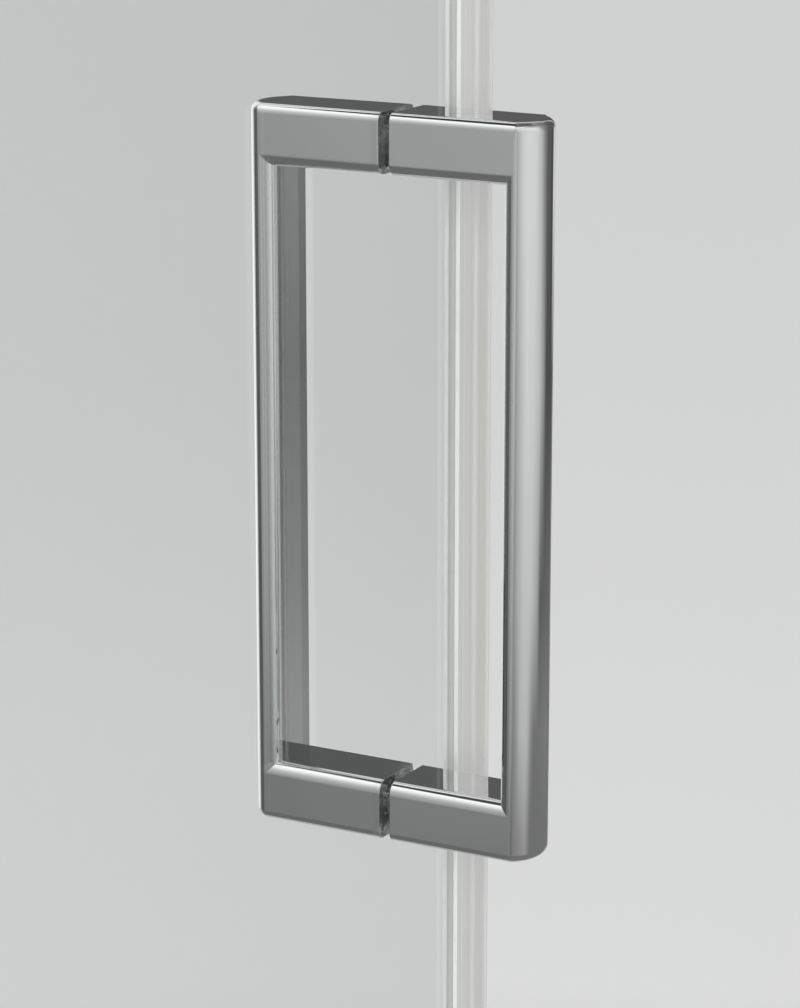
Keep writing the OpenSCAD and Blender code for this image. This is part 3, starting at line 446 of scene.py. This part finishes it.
# %% Safety glass
material, tree, shader = new_material("clear_glass")
shader.inputs["Base Color"].default_value = rgba(0.99, 1.0, 0.995)
shader.inputs["IOR"].default_value = 1.5
shader.inputs["Transmission Weight"].default_value = 1
marks = grain(tree, (140, 140, 60), detail=2, rough=0.4)
tree.links.new(spread(tree, marks, 0.0, 0.012, 0.62, 0.75), shader.inputs["Roughness"])
green = add_node(tree, "ShaderNodeVolumeAbsorption")
green.inputs["Color"].default_value = rgba(0.35, 0.80, 0.62)
green.inputs["Density"].default_value = 5.0
output = tree.nodes["Material Output"]
tree.links.new(green.outputs[0], output.inputs["Volume"])
MATERIALS["clear_glass"] = material
print("glass ready")

# %% [markdown]
# ## Soft clear plastic
# The seals are extruded from soft clear plastic, milky where it is thick. The extruder leaves fine
# lines along each seal. It is drawn as thin milky skin that lets part of the light straight
# through, because a seal that clasps the pane shares its faces with the glass, where two bending
# materials would fight. The thin pads and bushes of the handle are the same plastic, clearer.

# %% Soft clear plastic
def milky_plastic(name, per_metre, color, shaded, see_low, see_high, rough):
    material, tree, shader = new_material(name)
    lines = grain(tree, per_metre, detail=3)
    tree.links.new(blend_colors(tree, spread(tree, lines, 0, 1, 0.35, 0.65), color, shaded),
                   shader.inputs["Base Color"])
    tree.links.new(spread(tree, lines, see_low, see_high, 0.3, 0.7), shader.inputs["Alpha"])
    tree.links.new(spread(tree, lines, rough, rough + 0.08, 0.3, 0.7), shader.inputs["Roughness"])
    shader.inputs["IOR"].default_value = 1.45
    bump(tree, shader, lines, 0.06, 0.04 * MM)
    return material


MATERIALS["clear_seal"] = milky_plastic("clear_seal", (700, 700, 2), rgba(0.93, 0.93, 0.91),
                                        rgba(0.86, 0.86, 0.84), 0.50, 0.66, 0.14)
MATERIALS["clear_pad"] = milky_plastic("clear_pad", (500, 500, 500), rgba(0.9, 0.91, 0.9),
                                       rgba(0.85, 0.86, 0.85), 0.03, 0.06, 0.2)
# Painted highlight: a whiter, less see-through seal for the rounded corners and the leg ends.
PAINTED_HIGHLIGHT_SEAL = milky_plastic("clear_seal_painted_highlight", (700, 700, 2), rgba(0.98, 0.98, 0.96),
                          rgba(0.94, 0.94, 0.92), 0.86, 0.94, 0.12)
ACROSS_SEAL = milky_plastic("clear_seal_across", (2, 700, 700), rgba(0.93, 0.93, 0.91),
                            rgba(0.86, 0.86, 0.84), 0.50, 0.66, 0.14)
print("soft plastics ready")

# %% [markdown]
# ## Magnet strip
# The flexible magnet is a cream-grey strip of bonded powder, dull, with a fine speckle.

# %% Magnet strip
material, tree, shader = new_material("magnet_strip")
speckle = grain(tree, (2600, 2600, 2600), detail=2)
strip = grain(tree, (500, 500, 6), detail=2, shift=2.2)
tone = blend_colors(tree, spread(tree, strip, 0, 1, 0.35, 0.65), rgba(0.70, 0.69, 0.64),
                    rgba(0.64, 0.63, 0.58))
tree.links.new(blend_colors(tree, spread(tree, speckle, 0, 0.5, 0.55, 0.8), tone,
                            rgba(0.45, 0.44, 0.41)), shader.inputs["Base Color"])
tree.links.new(spread(tree, speckle, 0.45, 0.6, 0.3, 0.7), shader.inputs["Roughness"])
bump(tree, shader, speckle, 0.2, 0.04 * MM)
MATERIALS["magnet_strip"] = material
print("magnet strip ready")

# %% [markdown]
# ## Rubber and nylon
# Gaskets and buffers are dull rubber with a fine pebbled skin and a trace of pale bloom. Wheels,
# guides and bushes are moulded nylon, off-white, with a satin skin and slightly cloudy colour.

# %% Rubber and nylon
def rubber(name, color, bloom):
    material, tree, shader = new_material(name)
    pebble = grain(tree, (1800, 1800, 1800), detail=3)
    haze = grain(tree, (45, 45, 45), detail=4, shift=4.4)
    tree.links.new(blend_colors(tree, spread(tree, haze, 0, 1, 0.45, 0.8), color, bloom),
                   shader.inputs["Base Color"])
    tree.links.new(spread(tree, haze, 0.52, 0.72, 0.3, 0.7), shader.inputs["Roughness"])
    bump(tree, shader, pebble, 0.25, 0.06 * MM)
    return material


MATERIALS["grey_rubber"] = rubber("grey_rubber", rgba(0.10, 0.10, 0.10), rgba(0.17, 0.17, 0.165))
MATERIALS["black_rubber"] = rubber("black_rubber", rgba(0.022, 0.022, 0.022),
                                   rgba(0.05, 0.05, 0.048))
material, tree, shader = new_material("white_nylon")
skin = grain(tree, (1500, 1500, 1500), detail=2)
cloud = grain(tree, (80, 80, 80), detail=3, shift=6.1)
tree.links.new(blend_colors(tree, spread(tree, cloud, 0, 1, 0.35, 0.7), rgba(0.80, 0.79, 0.76),
                            rgba(0.74, 0.73, 0.69)), shader.inputs["Base Color"])
tree.links.new(spread(tree, skin, 0.32, 0.46, 0.3, 0.7), shader.inputs["Roughness"])
shader.inputs["Subsurface Weight"].default_value = 0.15
shader.inputs["Subsurface Scale"].default_value = 2 * MM
bump(tree, shader, skin, 0.12, 0.05 * MM)
MATERIALS["white_nylon"] = material
print("rubbers and nylon ready")

# %% [markdown]
# ## Finishes on the CAD solids
# Every solid keeps the CAD model's mesh and takes the finish that its slot in the record names.
# The upright profiles take the aluminium that was drawn upright. The drip seal lies along the
# threshold, so its lines run across. Clear pieces cast no shadow, as clear glass hardly does.

# %% Finishes on the CAD solids
UPRIGHTS = ("wall_channel_fixed", "wall_channel_closing", "jamb_fixed", "jamb_closing",
            "glazing_channel")
CLEAR_SLOTS = ("clear_glass", "clear_seal", "clear_pad")
for name, obj in NODES.items():
    material = MATERIALS[SLOT_OF[name]]
    if name in UPRIGHTS:
        material = UPRIGHT_ALUMINIUM
    if name == "drip_seal":
        material = ACROSS_SEAL
    obj.data.materials.clear()
    obj.data.materials.append(material)
    obj.visible_shadow = SLOT_OF[name] not in CLEAR_SLOTS
used = {obj.data.materials[0].name for obj in NODES.values()}
print("finishes on the CAD solids:", len(used))

# %% [markdown]
# ## The handle
# Each half is a chromed U: two arms and a grip that bulges outward, with a window between them. On
# the real handle the grip's corners, the rims and the window's edges each have their own rounding,
# and the window's roundings meet in mitres. It could be cut from a block, but cuts leave uneven
# facets that a mirror finish betrays. So the grip's plan is drawn by spinning one point round each
# arc, the plan is extruded to its height in three lifts, the arms are pulled out of the first and
# the last lift, and then each set of edges is bevelled with its own radius. The edges on the far
# side, toward the closing jamb, are crisper: their roundings are drawn in toward that side.

# %% Handle sizes
ARM_HEIGHT = 18.2 * MM
GRIP_FACE = 35.9 * MM
BULGE = 5.6 * MM
GRIP_CORNER = 2.4 * MM
RIM = 2.7 * MM
WINDOW_ROUND = 3.75 * MM
FAR_SHARE = 0.2
FAR_FROM, FAR_TO = 38.4 * MM, 41.0 * MM
ARM_END_EDGE = 0.3 * MM
CORNER_STEPS, BULGE_STEPS = 10, 48
WINDOW_STEPS, FAR_WINDOW_STEPS, RIM_STEPS, ARM_END_STEPS = 12, 8, 10, 3
print("handle", [round(v * 1000, 1) for v in HANDLE_HIGH - HANDLE_LOW], "mm")


# %% Spins, lifts and bevels
FOLD = 0.6


def spin_point(bm, point, centre, turn, steps):
    made = bmesh.ops.spin(bm, geom=[point], cent=centre, axis=(0, 0, 1), dvec=(0, 0, 0),
                          angle=turn, steps=steps, use_duplicate=False)
    return next(item for item in made["geom_last"] if isinstance(item, bmesh.types.BMVert))


def lift(bm, face, move):
    inside = any(len(edge.link_faces) > 1 for edge in face.edges)
    made = bmesh.ops.extrude_face_region(bm, geom=[face])["geom"]
    if inside:
        bmesh.ops.delete(bm, geom=[face], context="FACES_ONLY")
    bmesh.ops.translate(bm, verts=[v for v in made if isinstance(v, bmesh.types.BMVert)], vec=move)
    return next(item for item in made if isinstance(item, bmesh.types.BMFace))


def round_edges(bm, wanted, radius, segments, skip_end=False):
    edges = [edge for edge in bm.edges if edge.is_manifold
             and all(wanted(vert.co) for vert in edge.verts) and edge.calc_face_angle() > FOLD
             and not (skip_end and all(vert.co.y < NEAR for vert in edge.verts))]
    bmesh.ops.bevel(bm, geom=edges, offset=radius, offset_type="OFFSET", affect="EDGES",
                    segments=segments, profile=0.5, material=-1, clamp_overlap=False)
    return len(edges)


# %% The grip's plan
def grip_plan(bm, width, depth, foot):
    ball = ((width / 2) ** 2 + BULGE ** 2) / (2 * BULGE)
    ball_y = depth - ball
    corner_x = width / 2 - GRIP_CORNER
    corner_y = ball_y + math.sqrt((ball - GRIP_CORNER) ** 2 - corner_x ** 2)
    swing = math.acos(corner_x / (ball - GRIP_CORNER))
    first = bm.verts.new((-width / 2, GRIP_FACE, foot))
    point = bm.verts.new((-width / 2, corner_y, foot))
    bm.edges.new((first, point))
    point = spin_point(bm, point, (-corner_x, corner_y, foot), -swing, CORNER_STEPS)
    point = spin_point(bm, point, (0, ball_y, foot), -(math.pi - 2 * swing), BULGE_STEPS)
    point = spin_point(bm, point, (corner_x, corner_y, foot), -swing, CORNER_STEPS)
    last = bm.verts.new((width / 2, GRIP_FACE, foot))
    bm.edges.new((point, last))
    bm.edges.new((last, first))
    print("points round the grip's plan:", len(bm.verts))
    return bmesh.ops.contextual_create(bm, geom=bm.edges[:])["faces"][0]


# %% From the plan to a U
def raise_u(bm, plan, window):
    for rise in (ARM_HEIGHT, 2 * window, ARM_HEIGHT):
        plan = lift(bm, plan, (0, 0, rise))
    bmesh.ops.recalc_face_normals(bm, faces=bm.faces)
    arm_roots = [face for face in bm.faces if face.normal.y < -FACING
                 and abs(face.calc_center_median().z) > window]
    for face in arm_roots:
        lift(bm, face, (0, -GRIP_FACE, 0))
    bmesh.ops.dissolve_limit(bm, angle_limit=math.radians(0.2), verts=bm.verts, edges=bm.edges)
    bmesh.ops.recalc_face_normals(bm, faces=bm.faces)
    print("faces of the plain U:", len(bm.faces))


# %% Every rounding of one half
def window_edge(side_x, window):
    def wanted(place):
        on_arm = abs(abs(place.z) - window) < NEAR and place.y < GRIP_FACE + NEAR
        on_grip = abs(place.y - GRIP_FACE) < NEAR and abs(place.z) < window + NEAR
        return abs(place.x - side_x) < NEAR and (on_arm or on_grip)
    return wanted


def round_half(bm, width, half_height, window):
    counts = [round_edges(bm, window_edge(-width / 2, window), WINDOW_ROUND, WINDOW_STEPS),
              round_edges(bm, window_edge(width / 2, window), RIM, FAR_WINDOW_STEPS)]
    for end_z in (-half_height, half_height):
        counts.append(round_edges(bm, lambda place: abs(place.z - end_z) < NEAR, RIM, RIM_STEPS,
                                  skip_end=True))
    counts.append(round_edges(bm, lambda place: place.y < NEAR, ARM_END_EDGE, ARM_END_STEPS))
    print("edges rounded:", counts)


def draw_in_far_side(bm, width):
    for vert in bm.verts:
        if vert.co.x > width / 2 - RIM - NEAR / 10:
            along = min(max((vert.co.y - FAR_FROM) / (FAR_TO - FAR_FROM), 0), 1)
            share = FAR_SHARE + (1 - FAR_SHARE) * along * along * (3 - 2 * along)
            vert.co.x = width / 2 - (width / 2 - vert.co.x) * share


# %% One half of the handle
def handle_mesh(width, depth, half_height):
    window = half_height - ARM_HEIGHT
    bm = bmesh.new()
    plan = grip_plan(bm, width, depth, -half_height)
    raise_u(bm, plan, window)
    round_half(bm, width, half_height, window)
    draw_in_far_side(bm, width)
    return bm


# %% [markdown]
# ## Bores and both halves
# A stud runs through the glass into both arms, and the inner half has a bore for the grub screw
# that clamps each stud. These bores go into flat faces only, so a boolean cut leaves the roundings
# as they are. Afterwards the normals are weighted by face area, which keeps the flats flat and
# lets the roundings start without a kink in the reflection. The window's mitres stay sharp, so
# that the two roundings don't blend their normals there.

# %% Bores
BORE_STEPS = 48


def bore(bm, centre, along, radius, length):
    turn = Vector((0, 0, 1)).rotation_difference(Vector(along)).to_matrix().to_4x4()
    middle = Vector(centre) + Vector(along) * (length / 2)
    bmesh.ops.create_cone(bm, cap_ends=True, segments=BORE_STEPS, radius1=radius,
                          radius2=radius, depth=length, matrix=Matrix.Translation(middle) @ turn)


def cut(obj, cutter):
    modifier = obj.modifiers.new("bores", "BOOLEAN")
    modifier.operation, modifier.solver, modifier.object = "DIFFERENCE", "EXACT", cutter
    graph = bpy.context.evaluated_depsgraph_get()
    mesh = bpy.data.meshes.new_from_object(obj.evaluated_get(graph))
    obj.modifiers.clear()
    old, obj.data = obj.data, mesh
    bpy.data.meshes.remove(old)
    bpy.data.objects.remove(cutter)


# %% Shading of polished chrome
SHARP_FROM = 35


def chrome_shading(obj, on_mitre):
    mesh = obj.data
    for face in mesh.polygons:
        face.use_smooth = True
    mesh.set_sharp_from_angle(angle=math.radians(SHARP_FROM))
    mitres = [edge for edge in mesh.edges
              if all(on_mitre(mesh.vertices[i].co) for i in edge.vertices)]
    for edge in mitres:
        edge.use_edge_sharp = True
    print("mitre edges kept sharp:", len(mitres))
    weighted = obj.modifiers.new("even_normals", "WEIGHTED_NORMAL")
    weighted.keep_sharp = True
    weighted.weight = 60


# %% The bores of one half
STUD_LOW, STUD_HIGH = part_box("handle_studs")
GRUB_LOW, GRUB_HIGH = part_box("handle_grub_screws")
STUD_HOLE, STUD_DEPTH = 2.6 * MM, 12 * MM
GRUB_CLEARANCE, OVERRUN = 0.1 * MM, 1 * MM
print("stud bores", round(STUD_DEPTH * 1000), "mm deep")


def bore_tool(middle_x, arm_end, far_side, outward):
    tool = bmesh.new()
    stud_r = (STUD_HIGH.x - STUD_LOW.x) / 2
    screw_r = (GRUB_HIGH.y - GRUB_LOW.y) / 2
    for z, screw_z in ((STUD_LOW.z + stud_r, GRUB_LOW.z + screw_r),
                       (STUD_HIGH.z - stud_r, GRUB_HIGH.z - screw_r)):
        bore(tool, (middle_x, arm_end - outward * OVERRUN, z), (0, outward, 0), STUD_HOLE,
             STUD_DEPTH + OVERRUN)
        if outward > 0:
            bore(tool, (GRUB_LOW.x, (GRUB_LOW.y + GRUB_HIGH.y) / 2, screw_z), (1, 0, 0),
                 screw_r + GRUB_CLEARANCE, far_side - GRUB_LOW.x + OVERRUN)
    return add_object("bore_tool", mesh_from(tool, "bore_tool"))


# %% Both halves in their places
def handle_half(name, node, outward):
    low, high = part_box(node)
    middle = (low + high) / 2
    half_height = (high.z - low.z) / 2
    window = half_height - ARM_HEIGHT
    arm_end = low.y if outward > 0 else high.y
    bm = handle_mesh(high.x - low.x, high.y - low.y, half_height)
    bmesh.ops.scale(bm, vec=(1, outward, 1), verts=bm.verts)
    bmesh.ops.translate(bm, vec=(middle.x, arm_end, middle.z), verts=bm.verts)
    bmesh.ops.recalc_face_normals(bm, faces=bm.faces)
    half = add_object(name, mesh_from(bm, name))
    cut(half, bore_tool(middle.x, arm_end, high.x, outward))

    def on_mitre(place):
        past_grip = (place.y - arm_end) * outward - GRIP_FACE
        past_arm = abs(place.z - middle.z) - window
        return past_grip > NEAR and abs(past_grip - past_arm) < NEAR

    chrome_shading(half, on_mitre)
    half.data.materials.append(MATERIALS["chrome"])
    half.data.materials.append(DARKENED_ARM_END_CHROME)
    # Painted shade: the flat arm-end faces take the darker chrome, so the gap between the halves
    # renders darker.
    for face in half.data.polygons:
        if abs(face.center.y - arm_end) < NEAR:
            face.material_index = 1
    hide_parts(node)
    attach(half, "door")
    print(name, "faces:", len(half.data.polygons))


handle_half("handle_outer_half", "handle_outer", -1)
handle_half("handle_inner_half", "handle_inner", 1)

# %% [markdown]
# ## The leading seal
# A clear profile clasps the pane's leading edge with two legs and carries the magnet in a box. Its
# section could be traced point by point. Here it is drawn on a small grid whose lines are the
# faces of its walls: the cells that are empty are deleted, the section is extruded to its height,
# and the upright corners are rounded. The rounded corners and the ends of the legs catch the light
# and look whiter than the walls, so a painted highlight is put on them: a second material that is
# whiter and less see-through than the walls.

# %% Section on a grid
def extruded_section(columns, rows, empty, foot, height, corner):
    bm = bmesh.new()
    bmesh.ops.create_grid(bm, x_segments=len(columns) - 1, y_segments=len(rows) - 1, size=1)
    for vert in bm.verts:
        column = round((vert.co.x + 1) / 2 * (len(columns) - 1))
        row = round((vert.co.y + 1) / 2 * (len(rows) - 1))
        vert.co = (columns[column], rows[row], foot)
    gone = [face for face in bm.faces if empty(face.calc_center_median())]
    bmesh.ops.delete(bm, geom=gone, context="FACES")
    grown = bmesh.ops.extrude_face_region(bm, geom=bm.faces[:])
    top = [item for item in grown["geom"] if isinstance(item, bmesh.types.BMVert)]
    bmesh.ops.translate(bm, verts=top, vec=(0, 0, height))
    bmesh.ops.recalc_face_normals(bm, faces=bm.faces)
    upright = [edge for edge in bm.edges if edge.is_manifold and edge.calc_face_angle() > FOLD
               and abs(edge.verts[0].co.z - edge.verts[1].co.z) > height / 2]
    bmesh.ops.bevel(bm, geom=upright, offset=corner, affect="EDGES", segments=3, profile=0.5,
                    material=-1, clamp_overlap=True)
    return bm


# %% The leading seal's sizes
GLASS_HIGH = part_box("door_glass")[1]
SEAL_LOW, SEAL_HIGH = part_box("closing_seal")
MAGNET_LOW, MAGNET_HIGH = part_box("closing_magnet")
CLEARANCE, SEAL_CORNER, LEG_TIP = 0.05 * MM, 0.35 * MM, 1 * MM
FLAT, SEAL_SHARP_FROM = 0.999, 40
lead = GLASS_HIGH.x
clasp = GLASS_HIGH.y + CLEARANCE
room_x = (MAGNET_LOW.x - CLEARANCE, MAGNET_HIGH.x + CLEARANCE)
room_y = MAGNET_HIGH.y + CLEARANCE
print("leading seal", [round(v * 1000, 2) for v in SEAL_HIGH - SEAL_LOW], "mm")


# %% The leading seal in its place
def seal_gap_at(place):
    on_pane = place.x < lead and abs(place.y) < clasp
    in_box = room_x[0] < place.x < room_x[1] and abs(place.y) < room_y
    return on_pane or in_box


bm = extruded_section((SEAL_LOW.x, lead + CLEARANCE, *room_x, SEAL_HIGH.x),
                      (SEAL_LOW.y, -room_y, -clasp, clasp, room_y, SEAL_HIGH.y), seal_gap_at,
                      SEAL_LOW.z, SEAL_HIGH.z - SEAL_LOW.z, SEAL_CORNER)
# Painted highlight: the rounded corners and the leg ends take the whiter seal material.
for face in bm.faces:
    flat = max(abs(face.normal.x), abs(face.normal.y), abs(face.normal.z)) > FLAT
    leg_end = face.normal.x < -FACING and face.calc_center_median().x < SEAL_LOW.x + LEG_TIP
    face.material_index = 1 if leg_end or not flat else 0
    face.smooth = True
seal = add_object("closing_seal_profile", mesh_from(bm, "closing_seal_profile"))
seal.data.set_sharp_from_angle(angle=math.radians(SEAL_SHARP_FROM))
seal.data.materials.append(MATERIALS["clear_seal"])
seal.data.materials.append(PAINTED_HIGHLIGHT_SEAL)
seal.visible_shadow = False
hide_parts("closing_seal")
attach(seal, "door")
print("leading seal faces:", len(seal.data.polygons))
